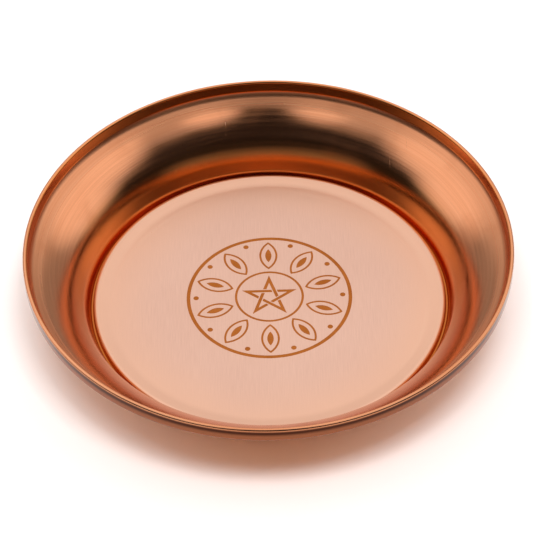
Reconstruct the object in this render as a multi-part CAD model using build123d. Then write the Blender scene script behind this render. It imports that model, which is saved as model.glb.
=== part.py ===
"""A small offering bowl pressed from one copper sheet, with a round mark etched in its floor.

Millimetres, +Z up. The origin is on the table, under the middle of the bowl.
"""
from build123d import *
import math
import os

os.makedirs("parts", exist_ok=True)

# The sheet
sheet = 0.5                # thickness of the copper sheet

# Runs: how far each stretch of the section reaches outwards, from the middle to the rim
floor_radius = 50.5        # the level floor
dish_run = 3.7             # the floor's gentle rise to its raised edge
brow_run = 1.0             # the rounded brow of that edge
drop_run = 0.25            # the short steep drop into the groove
groove_flat = 0.75         # the level bottom of the groove, which the bowl stands on
riser_run = 2.7            # the steep foot of the side
flare_run = 6.75           # the middle of the side, which leans outwards
flange_run = 7.95          # the flatter top of the side
lip_run = 0.4              # the upright lip round the side
rim_flat = 0.1             # the level strip between the two bends of the rim

# Drops and rises: how far each stretch falls or climbs
dish_rise = 0.64
brow_drop = 0.2
groove_drop = 1.88
riser_rise = 8.85
flare_rise = 7.9
flange_rise = 4.5
lip_rise = 4.6
hem_drop = 4.7             # height of the sheet folded down outside the rim
hem_edge = 0.15            # the flat edge of the hem, turned in below its bend

# Bends, measured on the polished side of the sheet
dish_round = 12.0
edge_round = 1.8
brow_round = 0.9
groove_round = 0.3
step_round = 18.0
flange_round = 31.0
crease_round = 2.6
fold_inside = 0.1          # left open inside the rim's bends
rim_round = sheet + fold_inside
hem_round = 0.8

# The round mark: lines and figures in shallow recesses of the floor
recess_depth = 0.10        # depth of the etched recesses
mark_sink = 0.02           # the brown layer lies this far below the floor
outer_ring_radius = 25.5   # middle of the outer line
outer_ring_line = 1.15
inner_ring_radius = 10.5   # middle of the inner line
inner_ring_line = 0.75
star_margin = 1.025        # from the star's points to the inner ring's line
star_line = 1.0            # width of the star's bars
star_gap = 0.3             # bare metal beside a bar that passes over another
petal_count = 10
petal_line = 0.65
petal_width = 5.8
petal_margin = 1.0         # from a petal's ends to the lines of the two rings
leaf_length = 5.8
leaf_width = 2.0
dot_radius = 0.85
dot_margin = 1.0           # from a dot's edge to the outer ring's line


# The sheet's section, from the middle of the floor to the hem's edge
groove_z = sheet
brow_z = groove_z + groove_drop
edge_z = brow_z + brow_drop
floor_z = edge_z - dish_rise
step_z = groove_z + riser_rise
flare_z = step_z + flare_rise
crease_z = flare_z + flange_rise
rim_z = crease_z + lip_rise
hem_z = rim_z - hem_drop

edge_r = floor_radius + dish_run
brow_r = edge_r + brow_run
groove_in = brow_r + drop_run
groove_out = groove_in + groove_flat
step_r = groove_out + riser_run
flare_r = step_r + flare_run
crease_r = flare_r + flange_run
lip_r = crease_r + lip_run
rim_r = lip_r + 2 * rim_round + rim_flat
hem_r = rim_r - hem_round - hem_edge

# Each corner of the polished side, with the radius that it is bent to
corners = [
    ((floor_radius, floor_z), dish_round),
    ((edge_r, edge_z), edge_round),
    ((brow_r, brow_z), brow_round),
    ((groove_in, groove_z), groove_round),
    ((groove_out, groove_z), groove_round),
    ((step_r, step_z), step_round),
    ((flare_r, flare_z), flange_round),
    ((crease_r, crease_z), crease_round),
    ((lip_r, rim_z), rim_round),
    ((rim_r, rim_z), rim_round),
    ((rim_r, hem_z), hem_round),
]
polished_points = [(0, floor_z)] + [point for point, bend in corners] + [(hem_r, hem_z)]
polished_bends = [bend for point, bend in corners]


def under(before, corner, after):
    """The corner on the other side of the sheet, and how far its bend's radius differs."""
    way_in = (Vector(corner) - Vector(before)).normalized()
    way_out = (Vector(after) - Vector(corner)).normalized()
    across_in = Vector(way_in.Y, -way_in.X)
    across_out = Vector(way_out.Y, -way_out.X)
    mitre = (across_in + across_out) * (sheet / (1 + across_in.dot(across_out)))
    return Vector(corner) + mitre, math.copysign(sheet, way_in.cross(way_out).Z)


# The underside runs one sheet below: bends that are hollow above are wider below, the others tighter
under_points = [Vector(0, floor_z - sheet)]
under_bends = []
for k, bend in enumerate(polished_bends):
    point, change = under(*polished_points[k:k + 3])
    under_points.append(point)
    under_bends.append(bend + change)
under_points.append(Vector(hem_r, hem_z + sheet))

polished_side = FilletPolyline(*polished_points, radius=polished_bends)
underside = FilletPolyline(*under_points, radius=under_bends)
axis_end = Line(polished_points[0], under_points[0])
hem_end = Line(polished_points[-1], under_points[-1])
section = make_face(polished_side.edges() + underside.edges() + [axis_end, hem_end])
shell = revolve(Plane.XZ * section, Axis.Z)


# The figures of the mark, drawn flat round the middle
def ring(radius, line):
    """A round line."""
    return Circle(radius + line / 2) - Circle(radius - line / 2)


def almond(length, width):
    """A pointed oval along X, where two circles cross."""
    radius = (length**2 + width**2) / (4 * width)
    apart = radius - width / 2
    return (Pos(0, apart) * Circle(radius)) & (Pos(0, -apart) * Circle(radius))


def almond_line(length, width, line):
    """The outline of a pointed oval, with the line on its inside."""
    radius = (length**2 + width**2) / (4 * width)
    apart = radius - width / 2
    hole = (Pos(0, apart) * Circle(radius - line)) & (Pos(0, -apart) * Circle(radius - line))
    return almond(length, width) - hole


def around(figure, radius, turn):
    """Copies of a figure, one for each petal, at a radius and turned on from the apex."""
    return Sketch() + [
        Rot(0, 0, apex + turn + petal_turn * k) * Pos(radius, 0) * figure for k in range(petal_count)
    ]


apex = 90                  # the star points towards the back
petal_turn = 360 / petal_count
band_in = inner_ring_radius + inner_ring_line / 2
band_out = outer_ring_radius - outer_ring_line / 2
petal_length = band_out - band_in - 2 * petal_margin
petal_middle = (band_out + band_in) / 2
dot_circle = band_out - dot_margin - dot_radius

# The interlaced star: five bars between every second point, each over one bar and under another
star_points = 5
star_radius = inner_ring_radius - inner_ring_line / 2 - star_margin


def star_point(k):
    angle = math.radians(apex + 360 * k / star_points)
    return Vector(star_radius * math.cos(angle), star_radius * math.sin(angle))


def star_bar(k, spare=0):
    """The bar from point k to point k + 2, with its outer edge on the star's outline."""
    along = star_point(k + 2) - star_point(k)
    middle = (star_point(k + 2) + star_point(k)) / 2
    centre = middle - middle.normalized() * (star_line / 2)
    turn = math.degrees(math.atan2(along.Y, along.X))
    return Pos(centre.X, centre.Y) * Rot(0, 0, turn) * Rectangle(along.length, star_line + 2 * spare)


def star_tip(k):
    """The half of the star's outline that lies inside the bar from point k."""
    return make_face(Polyline(star_point(k), star_point(k + 2), (0, 0), close=True))


star_outline = Sketch() + [star_tip(k) for k in range(star_points)]
star_bars = Sketch() + [star_bar(k) - star_bar(k - 1, star_gap) for k in range(star_points)]

figures = {
    "emblem_outer_ring": ring(outer_ring_radius, outer_ring_line),
    "emblem_inner_ring": ring(inner_ring_radius, inner_ring_line),
    "emblem_star": star_bars & star_outline,
    "emblem_petals": around(almond_line(petal_length, petal_width, petal_line), petal_middle, 0),
    "emblem_leaves": around(almond(leaf_length, leaf_width), petal_middle, 0),
    "emblem_dots": around(Circle(dot_radius), dot_circle, petal_turn / 2),
}

# Each figure is a thin brown layer in its own recess of the floor
recess_floor = Pos(0, 0, floor_z - recess_depth)
for name, figure in figures.items():
    shell -= recess_floor * extrude(figure, 2 * recess_depth)
    export_step(recess_floor * extrude(figure, recess_depth - mark_sink), f"parts/{name}.step")

export_step(shell, "parts/bowl_shell.step")
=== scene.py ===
import math
import bmesh
import bpy
from mathutils import Matrix, Vector


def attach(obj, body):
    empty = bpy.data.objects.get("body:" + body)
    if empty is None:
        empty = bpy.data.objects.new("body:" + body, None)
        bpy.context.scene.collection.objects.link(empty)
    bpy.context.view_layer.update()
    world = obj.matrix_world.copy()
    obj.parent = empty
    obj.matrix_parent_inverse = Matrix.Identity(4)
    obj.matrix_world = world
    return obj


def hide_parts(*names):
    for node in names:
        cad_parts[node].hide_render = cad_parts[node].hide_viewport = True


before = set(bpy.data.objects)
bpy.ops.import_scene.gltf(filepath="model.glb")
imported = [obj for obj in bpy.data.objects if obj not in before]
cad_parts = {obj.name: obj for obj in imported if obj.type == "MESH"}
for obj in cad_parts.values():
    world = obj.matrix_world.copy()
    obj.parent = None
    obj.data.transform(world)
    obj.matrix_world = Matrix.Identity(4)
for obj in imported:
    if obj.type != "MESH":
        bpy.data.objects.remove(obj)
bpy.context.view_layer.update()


# Bowl
# One disc of thin copper sheet, pressed to a raised floor with a groove round it and spun out to a curved
# side. Its edge stands up as a lip and is folded outwards and down as a hem, so it is all one piece.
# The floor is brushed in straight lines, the side is polished on the lathe, and the underside is left dull.
mm = 0.001
sheet = 0.5 * mm

# Runs: how far each stretch of the section reaches outwards
floor_radius = 50.5 * mm
dish_run = 3.7 * mm
brow_run = 1.0 * mm
drop_run = 0.25 * mm
groove_flat = 0.75 * mm
riser_run = 2.7 * mm
flare_run = 6.75 * mm
flange_run = 7.95 * mm
lip_run = 0.4 * mm
rim_flat = 0.1 * mm
hem_edge = 0.15 * mm

# Drops and rises: how far each stretch falls or climbs
dish_rise = 0.64 * mm
brow_drop = 0.2 * mm
groove_drop = 1.88 * mm
riser_rise = 8.85 * mm
flare_rise = 7.9 * mm
flange_rise = 4.5 * mm
lip_rise = 4.6 * mm
hem_drop = 4.7 * mm

# Bends, measured on the polished side of the sheet
dish_round = 12.0 * mm
edge_round = 1.8 * mm
brow_round = 0.9 * mm
groove_round = 0.3 * mm
step_round = 18.0 * mm
flange_round = 31.0 * mm
crease_round = 2.6 * mm
fold_inside = 0.1 * mm
rim_round = sheet + fold_inside
hem_round = 0.8 * mm

groove_z = sheet
brow_z = groove_z + groove_drop
edge_z = brow_z + brow_drop
floor_z = edge_z - dish_rise
step_z = groove_z + riser_rise
flare_z = step_z + flare_rise
crease_z = flare_z + flange_rise
rim_z = crease_z + lip_rise
hem_z = rim_z - hem_drop

edge_r = floor_radius + dish_run
brow_r = edge_r + brow_run
groove_in = brow_r + drop_run
groove_out = groove_in + groove_flat
step_r = groove_out + riser_run
flare_r = step_r + flare_run
crease_r = flare_r + flange_run
lip_r = crease_r + lip_run
rim_r = lip_r + 2 * rim_round + rim_flat
hem_r = rim_r - hem_round - hem_edge

# Each corner of the polished side, with the radius that the sheet is bent to there
corners = [
    (floor_radius, floor_z, dish_round),
    (edge_r, edge_z, edge_round),
    (brow_r, brow_z, brow_round),
    (groove_in, groove_z, groove_round),
    (groove_out, groove_z, groove_round),
    (step_r, step_z, step_round),
    (flare_r, flare_z, flange_round),
    (crease_r, crease_z, crease_round),
    (lip_r, rim_z, rim_round),
    (rim_r, rim_z, rim_round),
    (rim_r, hem_z, hem_round),
]
bend_step = 4              # degrees of a bend that one flat of the mesh takes up
turn_steps = 256           # flats round the axis
merge_distance = 0.001 * mm
mark_disc = 30.0 * mm      # the middle of the floor, which the mark is cut into later


def bend(section, corner, radius):
    """Rounds one corner of the section to a radius."""
    before, after = [edge.other_vert(corner).co - corner.co for edge in corner.link_edges]
    turn = math.pi - before.angle(after)
    bmesh.ops.bevel(section, geom=[corner], offset=radius * math.tan(turn / 2), offset_type="OFFSET",
                    segments=max(3, math.ceil(math.degrees(turn) / bend_step)), profile=0.5,
                    affect="VERTICES", material=-1)


def new_piece(name, shape):
    """Makes an object of a finished shape and puts it in the scene."""
    mesh = bpy.data.meshes.new(name)
    shape.to_mesh(mesh)
    shape.free()
    piece = bpy.data.objects.new(name, mesh)
    bpy.context.scene.collection.objects.link(piece)
    return piece


shell = bmesh.new()
line = [shell.verts.new((0, 0, floor_z)), shell.verts.new((mark_disc, 0, floor_z))]
line += [shell.verts.new((radius, 0, height)) for radius, height, bend_radius in corners]
line.append(shell.verts.new((hem_r, 0, hem_z)))
for start, end in zip(line, line[1:]):
    shell.edges.new((start, end))
for corner, (radius, height, bend_radius) in zip(line[2:-1], corners):
    bend(shell, corner, bend_radius)
bmesh.ops.spin(shell, geom=shell.verts[:] + shell.edges[:], cent=(0, 0, 0), axis=(0, 0, 1), angle=math.tau,
               steps=turn_steps, use_merge=True)
bmesh.ops.remove_doubles(shell, verts=shell.verts[:], dist=merge_distance)
bmesh.ops.recalc_face_normals(shell, faces=shell.faces[:])
polished_count = len(shell.faces)
bmesh.ops.solidify(shell, geom=shell.faces[:], thickness=sheet)
bmesh.ops.recalc_face_normals(shell, faces=shell.faces[:])
bowl = new_piece("bowl", shell)
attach(bowl, "root")
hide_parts("bowl_shell")


def feed(tree, value, socket):
    """Sets a socket to a number or a colour, or links an output to it."""
    if isinstance(value, bpy.types.NodeSocket):
        tree.links.new(value, socket)
    else:
        socket.default_value = value


def sums(tree, operation, *values):
    """One step of arithmetic on numbers and outputs."""
    node = tree.nodes.new("ShaderNodeMath")
    node.operation = operation
    for socket, value in zip(node.inputs, values):
        feed(tree, value, socket)
    return node.outputs[0]


def share(tree, value, amount):
    """A value times an amount."""
    return sums(tree, "MULTIPLY", value, amount)


def fade(tree, value, start, end, low=0.0, high=1.0):
    """A soft change from one level to another while a value goes from start to end."""
    node = tree.nodes.new("ShaderNodeMapRange")
    node.interpolation_type = "SMOOTHSTEP"
    for socket, number in zip(node.inputs, (value, start, end, low, high)):
        feed(tree, number, socket)
    return node.outputs["Result"]


def band(tree, value, middle, width):
    """One where a value is at the middle, and nothing where it is a width away or more."""
    away = sums(tree, "ABSOLUTE", sums(tree, "SUBTRACT", value, middle))
    return fade(tree, away, 0.0, width, 1.0, 0.0)


def vector(tree, *values):
    """A vector of three numbers or outputs."""
    node = tree.nodes.new("ShaderNodeCombineXYZ")
    for socket, value in zip(node.inputs, values):
        feed(tree, value, socket)
    return node.outputs[0]


def parts_of(tree, place):
    """The X, Y and Z of a place or a direction."""
    node = tree.nodes.new("ShaderNodeSeparateXYZ")
    feed(tree, place, node.inputs[0])
    return node.outputs


def across(tree, x, y):
    """The level distance from the middle."""
    return sums(tree, "SQRT", sums(tree, "ADD", share(tree, x, x), share(tree, y, y)))


def noise(tree, place, scale, detail=2.0):
    """Soft irregular values round one half."""
    node = tree.nodes.new("ShaderNodeTexNoise")
    feed(tree, place, node.inputs["Vector"])
    node.inputs["Scale"].default_value = scale
    node.inputs["Detail"].default_value = detail
    return node.outputs["Fac"]


def tint(tree, amount, first, second):
    """A colour between two colours."""
    node = tree.nodes.new("ShaderNodeMix")
    node.data_type = "RGBA"
    sockets = [socket for socket in node.inputs if socket.enabled]
    for socket, value in zip(sockets, (amount, first, second)):
        feed(tree, (*value, 1) if isinstance(value, tuple) else value, socket)
    return next(socket for socket in node.outputs if socket.enabled)


def new_effect(name, *outputs):
    """A node group that takes a place on the piece and gives values."""
    group = bpy.data.node_groups.new(name, "ShaderNodeTree")
    group.interface.new_socket("Place", in_out="INPUT", socket_type="NodeSocketVector")
    for output in outputs:
        group.interface.new_socket(output, in_out="OUTPUT", socket_type="NodeSocketFloat")
    return group, group.nodes.new("NodeGroupInput").outputs[0], group.nodes.new("NodeGroupOutput").inputs


# Lines left by the lathe: they run round the axis, and each fades and comes back along its way
fine_line = 0.35 * mm
broad_line = 1.6 * mm
lathe, place, results = new_effect("lathe lines", "Fine", "Broad")
x, y, height = parts_of(lathe, place)
radius = across(lathe, x, y)
safe_radius = sums(lathe, "MAXIMUM", radius, 0.1 * mm)
side = sums(lathe, "DIVIDE", x, safe_radius)
back = sums(lathe, "DIVIDE", y, safe_radius)
along = sums(lathe, "ADD", radius, height)
fine = vector(lathe, sums(lathe, "DIVIDE", along, fine_line),
              share(lathe, side, 2.0), share(lathe, back, 2.0))
broad = vector(lathe, sums(lathe, "DIVIDE", along, broad_line),
               share(lathe, side, 1.2), share(lathe, back, 1.2))
feed(lathe, fade(lathe, noise(lathe, fine, 1.0, 4.0), 0.3, 0.7), results["Fine"])
feed(lathe, fade(lathe, noise(lathe, broad, 1.0, 2.0), 0.3, 0.7), results["Broad"])

# Handling: soft smudges of fingers, and a few short fine scratches in three directions
scratch_turns = (0.6, 1.9, 2.7)
handling, place, results = new_effect("handling", "Smudges", "Scratches")
feed(handling, fade(handling, noise(handling, place, 55.0, 3.0), 0.56, 0.74), results["Smudges"])
unmarked = 1.0
for turn in scratch_turns:
    stretch = handling.nodes.new("ShaderNodeMapping")
    feed(handling, place, stretch.inputs["Vector"])
    stretch.inputs["Rotation"].default_value = (0, 0.4 * turn, turn)
    stretch.inputs["Scale"].default_value = (1800, 60, 60)
    fibre = noise(handling, stretch.outputs[0], 1.0, 1.0)
    unmarked = share(handling, unmarked, fade(handling, fibre, 0.17, 0.23))
feed(handling, sums(handling, "SUBTRACT", 1.0, unmarked), results["Scratches"])


def new_finish(name, metal=1.0):
    """A finish, with the place on the piece that its effects start from."""
    finish = bpy.data.materials.new(name)
    finish.use_nodes = True
    tree = finish.node_tree
    shader = tree.nodes["Principled BSDF"]
    shader.inputs["Metallic"].default_value = metal
    return finish, tree, shader.inputs, tree.nodes.new("ShaderNodeTexCoord").outputs["Object"]


def effect(tree, group, place):
    """One of the shared effects, at a place."""
    node = tree.nodes.new("ShaderNodeGroup")
    node.node_tree = group
    feed(tree, place, node.inputs[0])
    return node.outputs


def relief(tree, shader, depth, height):
    """Small unevenness of the surface."""
    node = tree.nodes.new("ShaderNodeBump")
    node.inputs["Strength"].default_value = 1.0
    node.inputs["Distance"].default_value = depth
    feed(tree, height, node.inputs["Height"])
    feed(tree, node.outputs[0], shader["Normal"])


def round_shine(tree, shader, amount):
    """Stretches the highlights across the lathe lines."""
    tangent = tree.nodes.new("ShaderNodeTangent")
    tangent.direction_type = "RADIAL"
    tangent.axis = "Z"
    feed(tree, tangent.outputs[0], shader["Tangent"])
    shader["Anisotropic"].default_value = amount
    shader["Anisotropic Rotation"].default_value = 0.25


# Floor: satin, brushed from front to back, with the faint ring of the press tool near its edge. It is
# painted warmer towards its edge, as a painted reflection of the copper wall.
satin_dark = (0.78, 0.46, 0.345)
satin_light = (0.96, 0.61, 0.475)
satin_edge_reflection = (0.93, 0.535, 0.365)
stroke_width = 0.32 * mm
stroke_length = 7 * mm
tool_radius = 49.3 * mm
tool_line = 0.7 * mm
tool_shift = 2.0 * mm      # the tool stood this far towards the front
floor_finish, tree, shader, place = new_finish("brushed floor")
x, y, height = parts_of(tree, place)
stroke = vector(tree, sums(tree, "DIVIDE", x, stroke_width), sums(tree, "DIVIDE", y, stroke_length), 0.0)
brush = noise(tree, stroke, 1.0, 3.0)
cloud = noise(tree, place, 28.0, 2.0)
from_tool = across(tree, x, sums(tree, "ADD", y, tool_shift))
tool_patches = fade(tree, noise(tree, place, 24.0, 3.0), 0.42, 0.62)
tool = share(tree, band(tree, from_tool, tool_radius, tool_line), tool_patches)
worn = effect(tree, handling, place)
level = sums(tree, "ADD", share(tree, brush, 0.9), share(tree, cloud, 0.5))
level = sums(tree, "SUBTRACT", level, sums(tree, "ADD", 0.3, share(tree, tool, 0.5)))
level = sums(tree, "SUBTRACT", level, share(tree, worn["Scratches"], 0.12))
metal = tint(tree, level, satin_dark, satin_light)
# Painted reflection: the floor turns warmer towards its edge, where it mirrors the copper wall
uneven_radius = sums(tree, "ADD", across(tree, x, y), share(tree, cloud, 12 * mm))
wall_reflection = fade(tree, uneven_radius, 38 * mm, 62 * mm, 0.0, 0.9)
feed(tree, tint(tree, wall_reflection, metal, satin_edge_reflection), shader["Base Color"])
rough = sums(tree, "ADD", 0.30, share(tree, brush, 0.10))
feed(tree, sums(tree, "SUBTRACT", rough, share(tree, tool, 0.06)), shader["Roughness"])
relief(tree, shader, 0.004 * mm, brush)
feed(tree, vector(tree, 1.0, 0.0, 0.0), shader["Tangent"])
shader["Anisotropic"].default_value = 0.75

# Wall: polished on the lathe, and duller under the crease, where the wheel did not reach. It is painted
# redder low down, as a painted reflection of the copper facing it, and painted darker in the groove, as
# painted shade.
polish_dark = (0.71, 0.275, 0.13)
polish_light = (0.87, 0.39, 0.205)
low_reflection_red = (0.77, 0.265, 0.05)
groove_painted_shade = (0.42, 0.10, 0.012)
wall_finish, tree, shader, place = new_finish("spun wall")
x, y, height = parts_of(tree, place)
turned = effect(tree, lathe, place)
worn = effect(tree, handling, place)
uneven_radius = sums(tree, "ADD", across(tree, x, y), share(tree, turned["Broad"], 1 * mm))
dull = fade(tree, uneven_radius, crease_r - 4 * mm, crease_r - 1.5 * mm)
level = sums(tree, "ADD", share(tree, turned["Fine"], 0.4), share(tree, turned["Broad"], 0.3))
level = sums(tree, "SUBTRACT", level, share(tree, worn["Smudges"], 0.35))
metal = tint(tree, level, polish_dark, polish_light)
# Painted reflection: redder low on the side, where the copper mirrors more copper
low = fade(tree, height, step_z - 1 * mm, step_z + 5 * mm, 0.75, 0.0)
metal = tint(tree, low, metal, low_reflection_red)
# Painted shade: darker and browner at the bottom of the groove
groove_shade = fade(tree, height, groove_z + 0.1 * mm, groove_z + 1.0 * mm, 0.7, 0.0)
feed(tree, tint(tree, groove_shade, metal, groove_painted_shade), shader["Base Color"])
rough = sums(tree, "ADD", 0.14, share(tree, turned["Broad"], 0.06))
rough = sums(tree, "ADD", rough, share(tree, dull, 0.16))
rough = sums(tree, "ADD", rough, share(tree, worn["Smudges"], 0.06))
feed(tree, sums(tree, "ADD", rough, share(tree, worn["Scratches"], 0.1)), shader["Roughness"])
relief(tree, shader, 0.003 * mm, turned["Fine"])
round_shine(tree, shader, 0.5)

# Rim: bright on top, where hands and cloths rub it. Inside the lip it is painted redder, as a painted
# reflection of the copper across the bowl, down the hem painted browner, as a painted reflection of a dim
# table, and under the fold a painted dark reflection makes a dark line.
rub_dark = (0.74, 0.28, 0.13)
rub_light = (0.88, 0.39, 0.20)
lip_reflection_red = (0.84, 0.27, 0.05)
hem_reflected_shade = (0.26, 0.088, 0.038)
fold_dark_reflection = (0.05, 0.012, 0.004)
rim_finish, tree, shader, place = new_finish("folded rim")
x, y, height = parts_of(tree, place)
radius = across(tree, x, y)
turned = effect(tree, lathe, place)
worn = effect(tree, handling, place)
outside = fade(tree, radius, rim_r - 0.5 * mm, rim_r - 0.2 * mm)
# Painted reflection: the hem is browner, as it mirrors a dim table
hem_reflection = share(tree, outside, fade(tree, height, rim_z - 1.0 * mm, rim_z - 0.3 * mm, 1.0, 0.0))
# Painted reflection: a dark line under the fold, where it mirrors the dark front of the room
under_fold_reflection = share(tree, outside, band(tree, height, rim_z - 1.4 * mm, 1.5 * mm))
# Painted reflection: the inside of the lip is redder, as it mirrors the copper across the bowl
inside_lip_reflection = fade(tree, radius, lip_r + 0.1 * mm, lip_r + 0.5 * mm, 0.75, 0.0)
level = sums(tree, "SUBTRACT", turned["Fine"], share(tree, worn["Scratches"], 0.5))
metal = tint(tree, level, rub_dark, rub_light)
metal = tint(tree, inside_lip_reflection, metal, lip_reflection_red)
metal = tint(tree, hem_reflection, metal, hem_reflected_shade)
feed(tree, tint(tree, under_fold_reflection, metal, fold_dark_reflection), shader["Base Color"])
rough = sums(tree, "ADD", 0.13, share(tree, turned["Broad"], 0.05))
feed(tree, sums(tree, "ADD", rough, share(tree, worn["Smudges"], 0.1)), shader["Roughness"])
relief(tree, shader, 0.002 * mm, turned["Fine"])
round_shine(tree, shader, 0.4)

# Underside: as it came off the lathe, rougher than the rest
under_dark = (0.86, 0.40, 0.20)
under_light = (0.96, 0.52, 0.29)
under_finish, tree, shader, place = new_finish("dull underside")
turned = effect(tree, lathe, place)
worn = effect(tree, handling, place)
level = sums(tree, "SUBTRACT", turned["Broad"], share(tree, worn["Smudges"], 0.5))
feed(tree, tint(tree, level, under_dark, under_light), shader["Base Color"])
feed(tree, sums(tree, "ADD", 0.42, share(tree, turned["Fine"], 0.12)), shader["Roughness"])
relief(tree, shader, 0.004 * mm, turned["Fine"])
round_shine(tree, shader, 0.3)

for finish in (floor_finish, wall_finish, rim_finish, under_finish):
    bowl.data.materials.append(finish)
for face in bowl.data.polygons:
    face_radius = face.center.xy.length
    face.use_smooth = True
    if face.index >= polished_count:
        face.material_index = 3
    elif face_radius < brow_r:
        face.material_index = 0
    elif face_radius < crease_r:
        face.material_index = 1
    else:
        face.material_index = 2


# Marks
# A brown layer burned into shallow etched recesses of the floor: two rings, an interlaced star, and ten
# petals with a leaf in each and dots between. The layer is thin and lies a little below the bare copper.
mark_names = ["emblem_outer_ring", "emblem_inner_ring", "emblem_star", "emblem_petals", "emblem_leaves",
              "emblem_dots"]
recess_depth = 0.10 * mm
cut_above = 0.2 * mm       # how far the cutter's top is raised, to come out above the floor
mark_reach = 27 * mm       # farther out than every mark
recesses = bmesh.new()
for name in mark_names:
    recesses.from_mesh(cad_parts[name].data)
bmesh.ops.remove_doubles(recesses, verts=recesses.verts[:], dist=merge_distance)
tops = [vert for vert in recesses.verts if vert.co.z > floor_z - recess_depth / 2]
bmesh.ops.translate(recesses, verts=tops, vec=(0, 0, cut_above))
cutter = new_piece("mark_recesses", recesses)
cut = bowl.modifiers.new("mark recesses", "BOOLEAN")
cut.operation = "DIFFERENCE"
cut.solver = "EXACT"
cut.object = cutter
ready = bowl.evaluated_get(bpy.context.evaluated_depsgraph_get())
bowl.data = bpy.data.meshes.new_from_object(ready)
bowl.modifiers.clear()
bpy.data.objects.remove(cutter)
for face in bowl.data.polygons:
    if face.center.xy.length < mark_reach:
        face.use_smooth = False

oxide_dark = (0.42, 0.115, 0.014)
oxide_light = (0.54, 0.165, 0.028)
mark_finish, tree, shader, place = new_finish("brown oxide", 0.85)
grain = noise(tree, place, 2600.0, 3.0)
patches = noise(tree, place, 240.0, 3.0)
level = sums(tree, "ADD", share(tree, grain, 0.5), share(tree, patches, 0.5))
feed(tree, tint(tree, fade(tree, level, 0.3, 0.7), oxide_dark, oxide_light), shader["Base Color"])
feed(tree, fade(tree, grain, 0.3, 0.7, 0.38, 0.52), shader["Roughness"])
relief(tree, shader, 0.004 * mm, grain)
for name in mark_names:
    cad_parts[name].data.materials.clear()
    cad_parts[name].data.materials.append(mark_finish)


# Table
# A smooth white board that the bowl stands on, painted matt. It is far wider than the picture, so that
# no edge shows, and it keeps the soft shadow.
board_reach = 4
white_paint = (0.9, 0.9, 0.9, 1)
board = bmesh.new()
bmesh.ops.create_grid(board, x_segments=1, y_segments=1, size=board_reach)
table = new_piece("table", board)
table_finish, tree, shader, place = new_finish("white table", 0.0)
shader["Base Color"].default_value = white_paint
shader["Roughness"].default_value = 0.6
table.data.materials.append(table_finish)


# Light
# A white light tent, open towards the camera: a bright back and soft lights on each side. Two lamps
# overhead light the table, and a weak warm one at the front fills the shadow, as light thrown back by
# the copper does. Directions are in degrees: round from the back, and up from the table.
room = bpy.data.worlds.new("studio")
bpy.context.scene.world = room
room.use_nodes = True
tree = room.node_tree
x, y, z = parts_of(tree, tree.nodes.new("ShaderNodeTexCoord").outputs["Generated"])
backward = sums(tree, "DIVIDE", y, sums(tree, "MAXIMUM", across(tree, x, y), 0.001))
from_back = sums(tree, "DEGREES", sums(tree, "ARCCOSINE", backward))
rise = sums(tree, "DEGREES", sums(tree, "ARCSINE", z))
back_light = share(tree, fade(tree, from_back, 10, 30, 1.0, 0.0), fade(tree, rise, 0, 22, 0.5, 0.95))
tent = share(tree, fade(tree, from_back, 66, 104, 1.0, 0.012), fade(tree, rise, 14, 42, 0.36, 1.0))
front_low = share(tree, fade(tree, from_back, 112, 140, 0.0, 1.0), fade(tree, rise, 0, 26, 0.42, 0.02))
crown = fade(tree, rise, 68, 84, 0.02, 0.7)


def softbox(turn, height, inside, outside, strength):
    """A round soft light on each side: its direction, its bright and its whole reach, and its strength."""
    turn = math.radians(turn)
    height = math.radians(height)
    sideways = share(tree, sums(tree, "ABSOLUTE", x), math.sin(turn) * math.cos(height))
    backwards = share(tree, y, math.cos(turn) * math.cos(height))
    upwards = share(tree, z, math.sin(height))
    towards = sums(tree, "ADD", sums(tree, "ADD", sideways, backwards), upwards)
    rim_of_light = math.cos(math.radians(outside))
    heart_of_light = math.cos(math.radians(inside))
    return fade(tree, towards, rim_of_light, heart_of_light, 0.0, strength)


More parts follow.
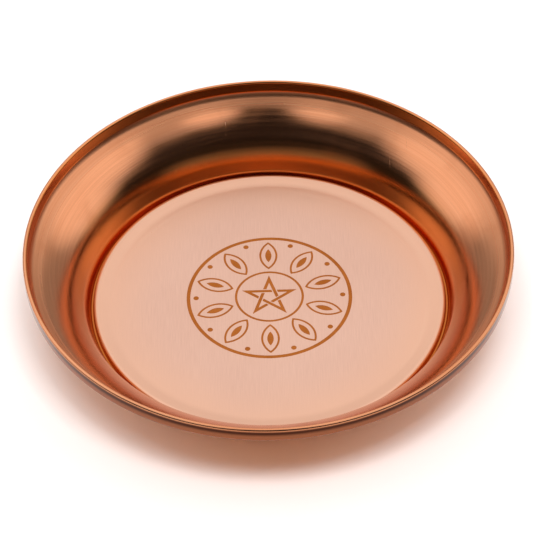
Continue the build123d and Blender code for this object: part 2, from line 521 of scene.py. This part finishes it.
lights = [back_light, tent, front_low, crown]
lights.append(softbox(70, 30, 6, 28, 1.2))
lights.append(softbox(82, 46, 6, 24, 1.2))
lights.append(softbox(112, 64, 6, 18, 0.65))
lights.append(softbox(138, 66, 4, 12, 1.2))
strength = 0.0
for light in lights:
    strength = sums(tree, "MAXIMUM", strength, light)
path = tree.nodes.new("ShaderNodeLightPath")
background = tree.nodes["Background"].inputs
background["Color"].default_value = (1, 1, 1, 1)
feed(tree, sums(tree, "MAXIMUM", strength, path.outputs["Is Camera Ray"]), background["Strength"])


def add_lamp(name, place, size, energy, color):
    """A square lamp that points at the bowl and does not show in the copper."""
    lamp = bpy.data.objects.new(name, bpy.data.lights.new(name, "AREA"))
    bpy.context.scene.collection.objects.link(lamp)
    lamp.location = place
    lamp.rotation_euler = Vector(place).to_track_quat("Z", "Y").to_euler()
    lamp.data.size = size
    lamp.data.energy = energy
    lamp.data.color = color
    lamp.visible_glossy = False


white = (1, 1, 1)
copper_glow = (1, 0.38, 0.2)
add_lamp("overhead_left", (-0.22, -0.35, 1.4), 0.45, 5.5, white)
add_lamp("overhead_right", (0.22, -0.35, 1.4), 0.45, 9.5, white)
add_lamp("low_fill", (0, -1.4, 0.6), 0.6, 5, copper_glow)


# Camera
# A long lens from the front, a little over half way up to overhead and turned very slightly. The middle
# of the floor lies a little below the middle of the picture.
elevation = math.radians(46.77)
distance = 0.691
roll = math.radians(1.5)
picture = 533              # pixels along each side
focal = 2194               # in pixels
middle_x = 269.41          # where the middle of the floor lies, in pixels from the left and the top
middle_y = 296.34
camera = bpy.data.objects.new("camera", bpy.data.cameras.new("camera"))
bpy.context.scene.collection.objects.link(camera)
camera.data.sensor_width = 36
camera.data.lens = camera.data.sensor_width * focal / picture
camera.location = (0, -distance * math.cos(elevation), floor_z + distance * math.sin(elevation))
tilt = Matrix.Rotation(math.pi / 2 - elevation, 3, "X")
camera.rotation_euler = (tilt @ Matrix.Rotation(-roll, 3, "Z")).to_euler()
camera.data.shift_x = -(middle_x - picture / 2) / picture
camera.data.shift_y = (middle_y - picture / 2) / picture
bpy.context.scene.camera = camera
bpy.context.scene.view_settings.view_transform = "Standard"
